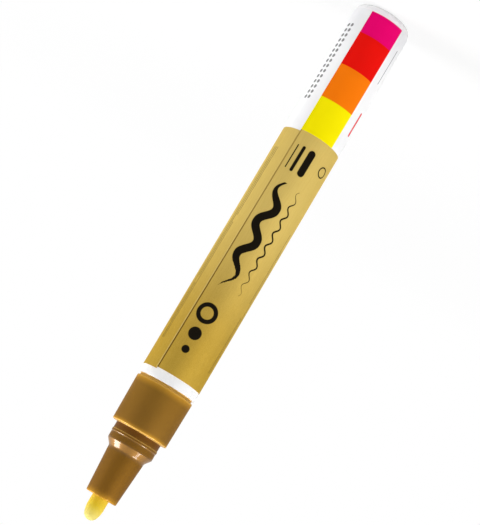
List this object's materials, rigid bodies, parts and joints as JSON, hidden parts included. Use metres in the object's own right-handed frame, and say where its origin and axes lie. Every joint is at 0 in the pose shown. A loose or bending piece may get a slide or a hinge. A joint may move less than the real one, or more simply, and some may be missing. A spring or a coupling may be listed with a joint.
{
  "type": "paint marker",
  "caption": "Uncapped felt-tip paint marker: labelled tube barrel, moulded nose with cap neck, sliding bullet nib and a sprung pump valve with a mixing ball inside.",
  "frame": {"origin": "centre of the flat rear face of the barrel", "axes": "+Z along the marker's axis towards the nib; -Y is the side that carries the colour blocks"},
  "size_m": [0.0142, 0.0142, 0.1326],
  "materials": {
    "barrel_lacquer": "white satin lacquer on aluminium",
    "label_film": "printed film, gold ink with a white zone and plain colour blocks",
    "ochre_plastic": "glossy, slightly translucent moulding",
    "nib_felt": "pressed fibre soaked with paint",
    "valve_plastic": "natural moulding",
    "seal_rubber": "matte",
    "stem_plastic": "smooth moulding",
    "spring_steel": "drawn wire",
    "ball_steel": "polished"
  },
  "bodies": {
    "body": {"barrel": "barrel_lacquer", "barrel_label": "label_film", "front_section": "ochre_plastic", "valve_housing": "valve_plastic", "valve_seat": "seal_rubber", "spring_cage": "valve_plastic", "valve_spring": "spring_steel"},
    "nib": {"nib": "nib_felt"},
    "valve_stem": {"valve_stem": "stem_plastic"},
    "mixing_ball": {"mixing_ball": "ball_steel"}
  },
  "joints": [
    {"name": "nib_press", "type": "slide", "parent": "body", "child": "nib", "axis": [0, 0, -1], "range_m": [0, 0.0015], "stiffness_N_per_m": 800, "springref_m": -0.003},
    {"name": "valve_stem_press", "type": "slide", "parent": "body", "child": "valve_stem", "axis": [0, 0, -1], "range_m": [0, 0.0015], "deforming": ["valve_spring"]},
    {"name": "mixing_ball_rattle", "type": "slide", "parent": "body", "child": "mixing_ball", "axis": [0, 0, 1], "range_m": [0, 0.084]}
  ],
  "couplings": [
    {"joint": "valve_stem_press", "follows": "nib_press", "ratio": 1}
  ]
}
